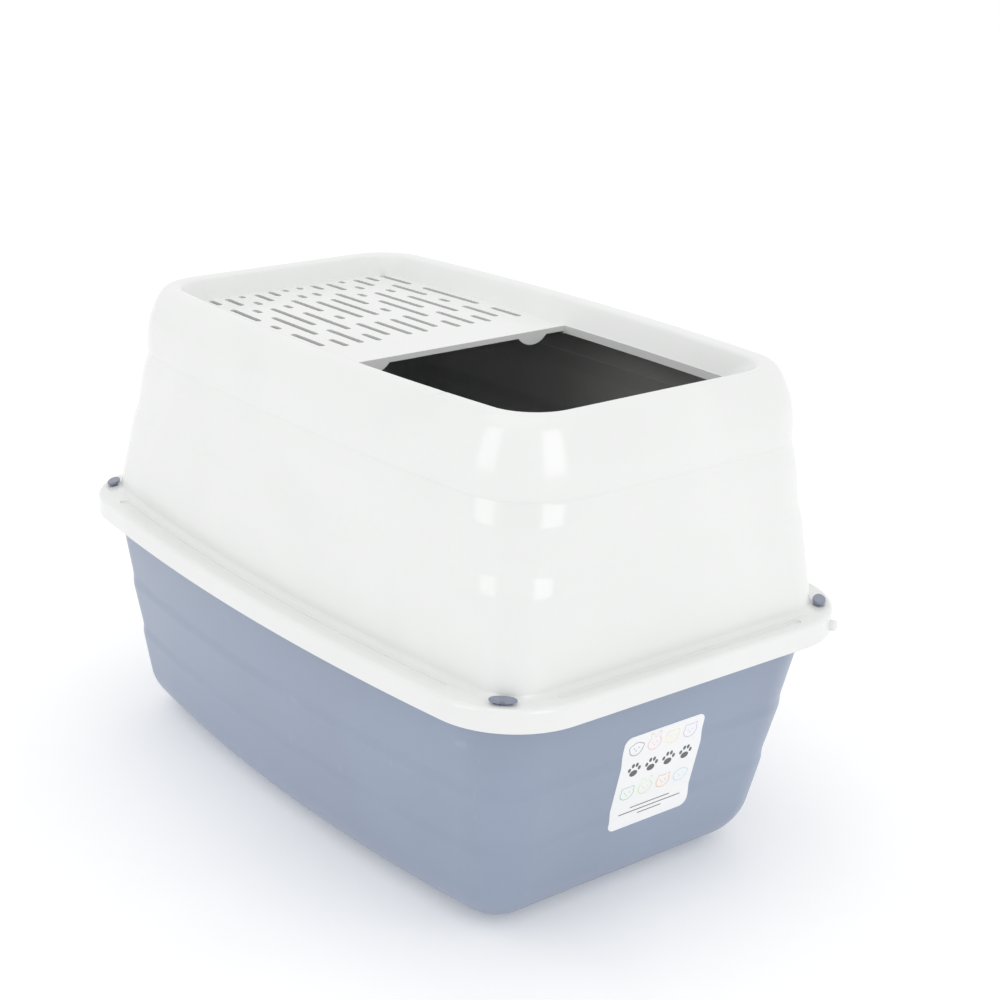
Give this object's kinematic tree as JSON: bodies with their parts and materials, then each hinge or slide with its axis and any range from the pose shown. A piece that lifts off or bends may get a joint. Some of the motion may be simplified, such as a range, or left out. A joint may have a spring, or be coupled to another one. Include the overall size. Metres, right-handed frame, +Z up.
{
  "type": "litter box",
  "caption": "Top-entry cat litter box: deep tray, tall hood with a sunken slotted step and an entry opening in its top, held at the corners by oval pins.",
  "frame": {"origin": "centre of the bounding box's base, on the surface the tray stands on", "axes": "+Z up; +Y from the labelled short face, which the entry opening is nearer, to the back; +X towards the side of the pry lug"},
  "size_m": [0.3606, 0.58, 0.3728],
  "materials": {
    "tray": "satin moulded blue-grey",
    "hood": "glossy moulded white",
    "pins": "satin moulded darker blue-grey",
    "label": null
  },
  "bodies": {
    "tray": {"tray": "tray", "label": "label"},
    "hood": {"hood": "hood"},
    "pin_front_left": {"pin_front_left": "pins"},
    "pin_front_right": {"pin_front_right": "pins"},
    "pin_back_left": {"pin_back_left": "pins"},
    "pin_back_right": {"pin_back_right": "pins"}
  },
  "joints": [
    {"name": "hood_lift", "type": "slide", "parent": "tray", "child": "hood", "axis": [0, 0, 1], "range_m": [0, 0.22]},
    {"name": "pin_front_left_pull", "type": "slide", "parent": "hood", "child": "pin_front_left", "axis": [0, 0, 1], "range_m": [0, 0.022]},
    {"name": "pin_front_right_pull", "type": "slide", "parent": "hood", "child": "pin_front_right", "axis": [0, 0, 1], "range_m": [0, 0.022]},
    {"name": "pin_back_left_pull", "type": "slide", "parent": "hood", "child": "pin_back_left", "axis": [0, 0, 1], "range_m": [0, 0.022]},
    {"name": "pin_back_right_pull", "type": "slide", "parent": "hood", "child": "pin_back_right", "axis": [0, 0, 1], "range_m": [0, 0.022]}
  ]
}
